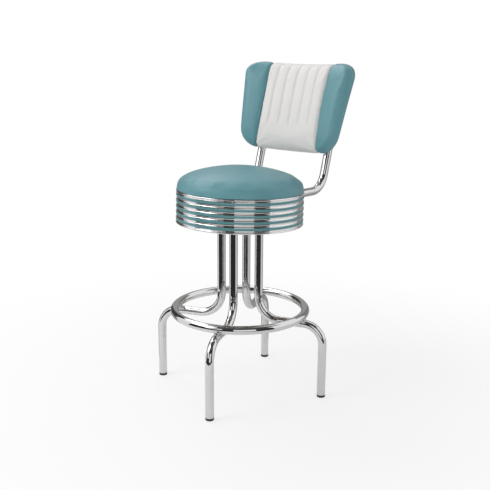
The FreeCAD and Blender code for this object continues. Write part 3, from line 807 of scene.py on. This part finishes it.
seatCushion = makeSeatCushion()
print("seat cushion done,", len(seatCushion.data.polygons), "faces")


# Back pad: two teal wings and a white channelled middle, sewn side by side

padValues = {
    "spacing": 0.1274,
    "cornerBehind": 0.2465,
    "cornerHeight": 0.6153,
    "rake": math.radians(15.2),
    "tubeRadius": 0.0127,
    "bottom": 0.106,
    "top": 0.392,
    "halfTop": 0.212,
    "halfBottom": 0.181,
    "cornerTop": 0.048,
    "cornerTopReach": 0.074,
    "cornerBottom": 0.058,
    "thickness": 0.059,
    "crown": 0.005,
    "roll": 0.024,
    "topRoll": 0.042,
    "topRollDepth": 0.034,
    "bottomRoll": 0.034,
    "bottomRollDepth": 0.018,
    "rearRoll": 0.018,
    "setback": 0.031,
    "sideProud": 0.62,
    "bend": 0.720,
    "rearPanel": 0.003,
    "seam": 0.1165,
    "channels": 6,
    "channelDepth": 0.0042,
    "fadeLow": 0.062,
    "fadeHigh": 0.098,
    "topFade": 0.030,
    "seamDip": 0.0035,
    "seamWidth": 0.006,
    "sinkFrom": 0.012,
    "sinkFull": 0.034,
    "heldDepth": 0.007,
    "sections": 56,
    "across": 30,
    "roundSide": 10,
}


def rearOffset():
    v = padValues
    reach = v["bend"] + v["tubeRadius"] + 0.0001
    return math.sqrt(reach ** 2 - v["spacing"] ** 2) - v["bend"]


padCentre = rearOffset() + padValues["bend"]
padMiddle = padValues["bend"] - padValues["thickness"] / 2


def padPoint(x, depth, u):
    # The flat pattern of the pad bent round the sitter: x across, depth forward of the rear face
    angle = x / padMiddle
    radius = padValues["bend"] - depth
    return Vector((radius * math.sin(angle), radius * math.cos(angle) - padCentre, u))


def padPattern(point):
    # Back from a bent point to x, depth and u
    angle = math.atan2(point.x, point.y + padCentre)
    radius = math.hypot(point.x, point.y + padCentre)
    return angle * padMiddle, padValues["bend"] - radius, point.z


def rakePad(point):
    # From the pad's frame to the stool's
    v = padValues
    c = math.cos(v["rake"])
    s = math.sin(v["rake"])
    y = point.y * c + point.z * s + v["cornerBehind"]
    z = point.z * c - point.y * s + v["cornerHeight"]
    return pitchSeat(Vector((point.x, y, z)))


def cornerLoss(distance, corner):
    if distance >= corner:
        return 0.0
    return corner - math.sqrt(max(corner ** 2 - (corner - distance) ** 2, 0.0))


def padHalfWidth(u):
    v = padValues
    share = (u - v["bottom"]) / (v["top"] - v["bottom"])
    width = v["halfBottom"] + (v["halfTop"] - v["halfBottom"]) * share
    width -= cornerLoss(v["top"] - u, v["cornerTop"]) * v["cornerTopReach"] / v["cornerTop"]
    return width - cornerLoss(u - v["bottom"], v["cornerBottom"])


def padFront(u):
    v = padValues
    share = (u - (v["top"] + v["bottom"]) / 2) / ((v["top"] - v["bottom"]) / 2)
    over = cornerLoss(v["top"] - u, v["topRoll"]) * v["topRollDepth"] / v["topRoll"]
    under = cornerLoss(u - v["bottom"], v["bottomRoll"]) * v["bottomRollDepth"] / v["bottomRoll"]
    return v["thickness"] - v["crown"] * share ** 2 - over - under


def padRear(u):
    v = padValues
    distance = min(v["top"] - u, u - v["bottom"])
    return v["rearPanel"] + 0.0004 + cornerLoss(distance, v["rearRoll"])


def padLevels():
    # Heights of the sections, close together where the edges roll over
    low = padValues["bottom"]
    high = padValues["top"]
    count = padValues["sections"]
    ease = [0.5 - 0.5 * math.cos(math.pi * k / count) for k in range(count + 1)]
    return [low + (high - low) * e for e in ease]


def sectionOf(u, shrink, fromX, toX, leftOpen, rightOpen):
    # One closed ring of a pad piece in x and depth; an open side is a flat seam wall
    v = padValues
    across = v["across"]
    side = v["roundSide"]
    middle = (v["top"] + v["bottom"]) / 2
    half = (v["top"] - v["bottom"]) / 2
    z = middle + (u - middle) * (half - shrink) / half
    front = padFront(u) - shrink
    rear = padRear(u)
    width = padHalfWidth(u) - shrink
    spare = max((width - v["seam"]) * 0.6, 0.001)
    fall = min(v["roll"] * 0.5, (front - rear) * 0.5, spare)

    def sideArc(sign):
        a = Vector((sign * (width - fall), front, 0))
        m = Vector((sign * width, rear + (front - rear) * v["sideProud"], 0))
        b = Vector((sign * (width - min(v["setback"], spare)), rear, 0))
        return arcThrough(a, m, b, side)

    left = [Vector((fromX, front, 0)), Vector((fromX, rear, 0))] if leftOpen else sideArc(-1)
    right = [Vector((toX, front, 0)), Vector((toX, rear, 0))] if rightOpen else sideArc(1)
    if leftOpen:
        left = [left[0].lerp(left[1], k / side) for k in range(side + 1)]
    if rightOpen:
        right = [right[0].lerp(right[1], k / side) for k in range(side + 1)]
    ring = [left[0].lerp(right[0], k / across) for k in range(across)] + right[:-1]
    ring += [right[-1].lerp(left[-1], k / across) for k in range(across)] + left[:0:-1]
    return [padPoint(p.x, p.y, z) for p in ring]


def padSolid(name, shrink, fromX, toX, leftOpen, rightOpen):
    points = []
    faces = []
    levels = padLevels()
    for u in levels:
        ring = sectionOf(u, shrink, fromX, toX, leftOpen, rightOpen)
        points += ring
    count = len(ring)
    for k in range(len(levels) - 1):
        for j in range(count):
            n = (j + 1) % count
            a = k * count
            faces.append((a + j, a + n, a + count + n, a + count + j))
    faces.append(tuple(range(count - 1, -1, -1)))
    faces.append(tuple(range((len(levels) - 1) * count, len(levels) * count)))
    obj = meshFrom(name, points, faces)
    fixNormals(obj)
    return obj


def channelAt(x, u):
    # How deep the sewn channels press in, from 0 to 1
    v = padValues
    rise = smoothStep(v["fadeLow"], v["fadeHigh"], u - v["bottom"])
    fall = smoothStep(-0.004, v["topFade"], v["top"] - u)
    pitch = 2 * v["seam"] / v["channels"]
    place = (x + v["seam"]) / pitch
    nearest = round(place)
    if nearest <= 0 or nearest >= v["channels"]:
        return 0.0
    away = abs(place - nearest) * 2
    valley = (1 - math.sqrt(max(1 - (1 - away) ** 2, 0))) * 0.75 + 0.25 * math.exp(-(away / 0.2) ** 2)
    return valley * rise * fall


def pressIn(point, isMiddle):
    # Seams and channels sink into the front, the rolled edges included
    v = padValues
    x, depth, u = padPattern(point)
    facing = smoothStep(v["sinkFrom"], v["sinkFull"], depth)
    seamAway = (abs(x) - v["seam"]) / v["seamWidth"]
    sink = v["seamDip"] * math.exp(-seamAway ** 2)
    if isMiddle:
        sink += v["channelDepth"] * channelAt(x, u) * facing
    middle = (v["top"] + v["bottom"]) / 2
    half = (v["top"] - v["bottom"]) / 2
    edge = smoothStep(half - v["roll"], half, abs(u - middle))
    newDepth = depth - sink * facing * (1 - edge * 0.6)
    newU = u - math.copysign(sink * edge * 0.8, u - middle)
    return padPoint(x, newDepth, newU)


def makePadPiece(name, node, fromX, toX, leftOpen, rightOpen, material):
    cloth = clothValues
    isMiddle = leftOpen and rightOpen
    piece = padSolid(name, cloth["shrink"], fromX, toX, leftOpen, rightOpen)

    def held(p):
        x, depth, u = padPattern(p)
        return depth < padValues["heldDepth"] or abs(abs(x) - padValues["seam"]) < 0.0015

    remeshed(piece, cloth["padVoxel"])
    relax(piece, cloth["padRelaxBefore"], held)
    inflate(piece, held, cloth["cap"])
    relax(piece, cloth["padRelaxAfter"], held)
    subdivided(piece)
    for vert in piece.data.vertices:
        vert.co = rakePad(pressIn(vert.co, isMiddle))
    fixNormals(piece)
    smooth(piece)
    piece.data.materials.append(material)
    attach(piece, "seat")
    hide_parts(*node)
    print(name, "done,", len(piece.data.polygons), "faces")
    return piece


seamX = padValues["seam"] - 0.0002
backMiddle = makePadPiece(
    "backMiddle", ("back_centre_panel", "back_foam"), -seamX, seamX, True, True, whiteVinyl
)
makePadPiece(
    "backWingLeft", ("back_wing_left",), 0, -seamX - 0.0004, False, True, tealVinyl
)
makePadPiece(
    "backWingRight", ("back_wing_right",), seamX + 0.0004, 0, True, False, tealVinyl
)


# Stitches: one short thread at a time along the sewn lines

stitchValues = {
    "pitch": 0.0034,
    "length": 0.0027,
    "thread": 0.00028,
    "fromSeam": 0.0045,
    "step": 0.004,
    "castFrom": 0.085,
    "castTo": 0.010,
    "clearBelow": 0.012,
    "clearAbove": 0.010,
}


def stitchTree():
    tree = bpy.data.node_groups.new("stitchRow", "GeometryNodeTree")
    tree.interface.new_socket("Geometry", in_out="INPUT", socket_type="NodeSocketGeometry")
    for label in ("Pitch", "Stitch Length", "Thread Radius"):
        tree.interface.new_socket(label, in_out="INPUT", socket_type="NodeSocketFloat")
    tree.interface.new_socket("Thread", in_out="INPUT", socket_type="NodeSocketMaterial")
    tree.interface.new_socket("Geometry", in_out="OUTPUT", socket_type="NodeSocketGeometry")
    node = tree.nodes.new
    link = tree.links.new
    entry = node("NodeGroupInput")
    leave = node("NodeGroupOutput")
    line = node("GeometryNodeMeshToCurve")
    even = node("GeometryNodeResampleCurve")
    even.mode = "LENGTH"
    bead = node("GeometryNodeMeshUVSphere")
    bead.inputs["Segments"].default_value = 6
    bead.inputs["Rings"].default_value = 5
    bead.inputs["Radius"].default_value = 1.0
    half = node("ShaderNodeMath")
    half.operation = "MULTIPLY"
    half.inputs[1].default_value = 0.5
    size = node("ShaderNodeCombineXYZ")
    shape = node("GeometryNodeTransform")
    tangent = node("GeometryNodeInputTangent")
    turn = node("FunctionNodeAlignRotationToVector")
    turn.axis = "Z"
    place = node("GeometryNodeInstanceOnPoints")
    real = node("GeometryNodeRealizeInstances")
    paint = node("GeometryNodeSetMaterial")
    link(entry.outputs["Geometry"], line.inputs["Mesh"])
    link(line.outputs["Curve"], even.inputs["Curve"])
    link(entry.outputs["Pitch"], even.inputs["Length"])
    link(entry.outputs["Stitch Length"], half.inputs[0])
    link(entry.outputs["Thread Radius"], size.inputs["X"])
    link(entry.outputs["Thread Radius"], size.inputs["Y"])
    link(half.outputs[0], size.inputs["Z"])
    link(bead.outputs["Mesh"], shape.inputs["Geometry"])
    link(size.outputs["Vector"], shape.inputs["Scale"])
    link(tangent.outputs["Tangent"], turn.inputs["Vector"])
    link(even.outputs["Curve"], place.inputs["Points"])
    link(shape.outputs["Geometry"], place.inputs["Instance"])
    link(turn.outputs["Rotation"], place.inputs["Rotation"])
    link(place.outputs["Instances"], real.inputs["Geometry"])
    link(real.outputs["Geometry"], paint.inputs["Geometry"])
    link(entry.outputs["Thread"], paint.inputs["Material"])
    link(paint.outputs["Geometry"], leave.inputs["Geometry"])
    return tree


def surfaceOf(piece):
    bm = bmesh.new()
    bm.from_mesh(piece.data)
    surface = BVHTree.FromBMesh(bm)
    bm.free()
    return surface


def sewnLine(surface, x, low, high):
    # Points on the front of the pad, read from its finished surface
    v = stitchValues
    points = []
    count = max(2, round((high - low) / v["step"]))
    for k in range(count + 1):
        u = low + (high - low) * k / count
        outside = rakePad(padPoint(x, v["castFrom"], u))
        inside = rakePad(padPoint(x, v["castTo"], u))
        hit = surface.ray_cast(outside, (inside - outside).normalized())[0]
        if hit is not None:
            points.append(hit)
    return points


def makeStitches(name, lines, material):
    points = []
    edges = []
    for row in lines:
        first = len(points)
        points += row
        edges += [(first + k, first + k + 1) for k in range(len(row) - 1)]
    mesh = bpy.data.meshes.new(name)
    mesh.from_pydata([tuple(p) for p in points], edges, [])
    piece = newObject(name, mesh)
    step = piece.modifiers.new("stitches", "NODES")
    step.node_group = stitchRow
    sockets = {
        item.name: item.identifier
        for item in stitchRow.interface.items_tree
        if item.in_out == "INPUT"
    }
    step[sockets["Pitch"]] = stitchValues["pitch"]
    step[sockets["Stitch Length"]] = stitchValues["length"]
    step[sockets["Thread Radius"]] = stitchValues["thread"]
    step[sockets["Thread"]] = material
    bakeModifiers(piece)
    smooth(piece)
    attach(piece, "seat")
    print(name, "done,", len(piece.data.polygons), "faces")
    return piece


stitchRow = stitchTree()
middleSurface = surfaceOf(backMiddle)
channelPitch = 2 * padValues["seam"] / padValues["channels"]
seamLow = padValues["bottom"] + stitchValues["clearBelow"]
channelLow = padValues["bottom"] + padValues["fadeLow"] + stitchValues["clearBelow"]
channelHigh = padValues["top"] - stitchValues["clearAbove"]
channelRows = [
    sewnLine(middleSurface, -padValues["seam"] + channelPitch * k, channelLow, channelHigh)
    for k in range(1, padValues["channels"])
]
besideSeam = padValues["seam"] - stitchValues["fromSeam"]
seamRows = [
    sewnLine(middleSurface, side * besideSeam, seamLow, channelHigh) for side in (-1, 1)
]
makeStitches("channelStitches", channelRows + seamRows, sewingThread)


# Floor, light and background

studioValues = {
    "worldLight": 0.58,
    "aim": (0, 0, 0.6),
    "floorSeenNear": 0.68,
    "floorMirrored": 0.04,
    "paperNear": 0.45,
    "paperFar": 1.5,
    "wallRadius": 3.0,
}
# Soft boxes: turn from the camera's side in degrees (to the right is positive), distance and height
# in metres, width and height of the box, and watts
studioLamps = {
    "key": (-72, 2.3, 2.4, (1.6, 1.6), 29),
    "fill": (8, 2.6, 0.7, (1.6, 2.0), 9),
    "rim": (215, 1.8, 2.6, (2.0, 1.2), 15),
}
# Upright flags round the stool that only polished surfaces show: turn from and to, height from and
# to, and how bright the flag is
studioFlags = {
    "front": (-28, 54, 0.0, 3.4, 0.045),
    "underSoftbox": (-56, -28, 0.0, 0.85, 0.035),
    "overSoftbox": (-56, -28, 2.1, 3.4, 0.035),
    "left": (-84, -56, 0.0, 3.4, 0.040),
    "farLeft": (-157, -119, 0.0, 2.6, 0.06),
    "right": (126, 158, 0.0, 2.6, 0.25),
    "behind": (158, 203, 0.0, 2.6, 0.38),
}
# Level flags, the studio floor beyond the paper and the ceiling: turn from and to, the radius they
# start at, their height and how bright they are
levelFlags = {
    "darkFloor": (-84, 54, 0.95, 0.004, 0.030),
    "greyFloor": (112, 248, 0.42, 0.004, 0.36),
    "ceiling": (-100, 90, 0.25, 3.4, 0.10),
}


def onCameraSide(degrees, reach, height):
    # A point given by its turn from the camera's side, its distance from the stool and its height
    turn = math.radians(degrees)
    forward = Vector(cameraValues["forward"])
    flat = Vector((forward.x, forward.y, 0)).normalized()
    right = Vector((flat.y, -flat.x, 0))
    place = right * (reach * math.sin(turn)) - flat * (reach * math.cos(turn))
    return Vector((place.x, place.y, height))


def backgroundWorld():
    world = bpy.data.worlds.new("studio")
    world.use_nodes = True
    scene.world = world
    tree = world.node_tree
    tree.nodes.clear()
    out = tree.nodes.new("ShaderNodeOutputWorld")
    seen = tree.nodes.new("ShaderNodeBackground")
    seen.inputs["Color"].default_value = (1, 1, 1, 1)
    seen.inputs["Strength"].default_value = 1.0
    light = tree.nodes.new("ShaderNodeBackground")
    light.inputs["Color"].default_value = (1, 1, 1, 1)
    light.inputs["Strength"].default_value = studioValues["worldLight"]
    path = tree.nodes.new("ShaderNodeLightPath")
    first = tree.nodes.new("ShaderNodeMath")
    first.operation = "MAXIMUM"
    second = tree.nodes.new("ShaderNodeMath")
    second.operation = "MAXIMUM"
    mix = tree.nodes.new("ShaderNodeMixShader")
    link = tree.links.new
    link(path.outputs["Is Camera Ray"], first.inputs[0])
    link(path.outputs["Is Glossy Ray"], first.inputs[1])
    link(first.outputs[0], second.inputs[0])
    link(path.outputs["Is Transmission Ray"], second.inputs[1])
    link(second.outputs[0], mix.inputs["Fac"])
    link(light.outputs["Background"], mix.inputs[1])
    link(seen.outputs["Background"], mix.inputs[2])
    link(mix.outputs["Shader"], out.inputs["Surface"])


def paleFloor():
    # White paper: it keeps the soft shadow near the stool and runs out into the background
    v = studioValues
    floor = meshFrom("floor", [(-40, -40, 0), (40, -40, 0), (40, 40, 0), (-40, 40, 0)], [(0, 1, 2, 3)])
    material = bpy.data.materials.new("paleFloor")
    material.use_nodes = True
    tree = material.node_tree
    tree.nodes.clear()
    out = tree.nodes.new("ShaderNodeOutputMaterial")
    matte = tree.nodes.new("ShaderNodeBsdfDiffuse")
    matte.inputs["Color"].default_value = (0.95, 0.95, 0.95, 1)
    glow = tree.nodes.new("ShaderNodeEmission")
    glow.inputs["Strength"].default_value = 1.0
    coords = tree.nodes.new("ShaderNodeTexCoord")
    away = tree.nodes.new("ShaderNodeVectorMath")
    away.operation = "LENGTH"
    fade = tree.nodes.new("ShaderNodeMapRange")
    fade.interpolation_type = "SMOOTHSTEP"
    fade.inputs["From Min"].default_value = v["paperNear"]
    fade.inputs["From Max"].default_value = v["paperFar"]
    fade.inputs["To Min"].default_value = v["floorSeenNear"]
    path = tree.nodes.new("ShaderNodeLightPath")
    seen = tree.nodes.new("ShaderNodeMath")
    seen.operation = "MULTIPLY"
    mirrored = tree.nodes.new("ShaderNodeMath")
    mirrored.operation = "MULTIPLY_ADD"
    mirrored.inputs[1].default_value = v["floorMirrored"]
    mix = tree.nodes.new("ShaderNodeMixShader")
    link = tree.links.new
    link(coords.outputs["Object"], away.inputs[0])
    link(away.outputs["Value"], fade.inputs["Value"])
    link(path.outputs["Is Camera Ray"], seen.inputs[0])
    link(fade.outputs["Result"], seen.inputs[1])
    link(path.outputs["Is Glossy Ray"], mirrored.inputs[0])
    link(seen.outputs[0], mirrored.inputs[2])
    link(mirrored.outputs[0], mix.inputs["Fac"])
    link(matte.outputs["BSDF"], mix.inputs[1])
    link(glow.outputs["Emission"], mix.inputs[2])
    link(mix.outputs["Shader"], out.inputs["Surface"])
    floor.data.materials.append(material)


def softBox(name, place, size, power):
    data = bpy.data.lights.new(name, "AREA")
    data.shape = "RECTANGLE"
    data.size, data.size_y = size
    data.energy = power
    lamp = newObject(name, data)
    lamp.location = place
    lamp.rotation_mode = "QUATERNION"
    lamp.rotation_quaternion = (Vector(studioValues["aim"]) - place).to_track_quat("-Z", "Y")


def flagMaterial(name, shade):
    material = bpy.data.materials.new(name)
    material.use_nodes = True
    tree = material.node_tree
    tree.nodes.clear()
    out = tree.nodes.new("ShaderNodeOutputMaterial")
    glow = tree.nodes.new("ShaderNodeEmission")
    glow.inputs["Color"].default_value = (shade, shade * 0.97, shade * 0.94, 1)
    tree.links.new(glow.outputs["Emission"], out.inputs["Surface"])
    return material


def hangFlag(name, corners, faces, shade):
    # Seen in reflections only: it lights and shades nothing
    flag = meshFrom(name, corners, faces)
    flag.data.materials.append(flagMaterial(name, shade))
    flag.visible_camera = False
    flag.visible_diffuse = False
    flag.visible_shadow = False
    flag.visible_transmission = False


def arcFlag(name, turns, inner, outer, shade):
    # Two rows of points, each row a radius and a height
    steps = len(turns) - 1
    corners = [onCameraSide(turn, *row) for row in (inner, outer) for turn in turns]
    faces = [(k, k + 1, steps + k + 2, steps + k + 1) for k in range(steps)]
    hangFlag("flag_" + name, corners, faces, shade)


def hangFlags():
    reach = studioValues["wallRadius"]
    for name, (start, end, low, high, shade) in studioFlags.items():
        steps = max(2, round((end - start) / 6))
        turns = [start + (end - start) * k / steps for k in range(steps + 1)]
        arcFlag(name, turns, (reach, low), (reach, high), shade)
    for name, (start, end, inner, height, shade) in levelFlags.items():
        turns = [start + (end - start) * k / 24 for k in range(25)]
        arcFlag(name, turns, (inner, height), (reach, height), shade)


backgroundWorld()
paleFloor()
for name, (turn, reach, height, size, power) in studioLamps.items():
    softBox(name, onCameraSide(turn, reach, height), size, power)
hangFlags()
scene.view_settings.view_transform = "Standard"
print("studio done")
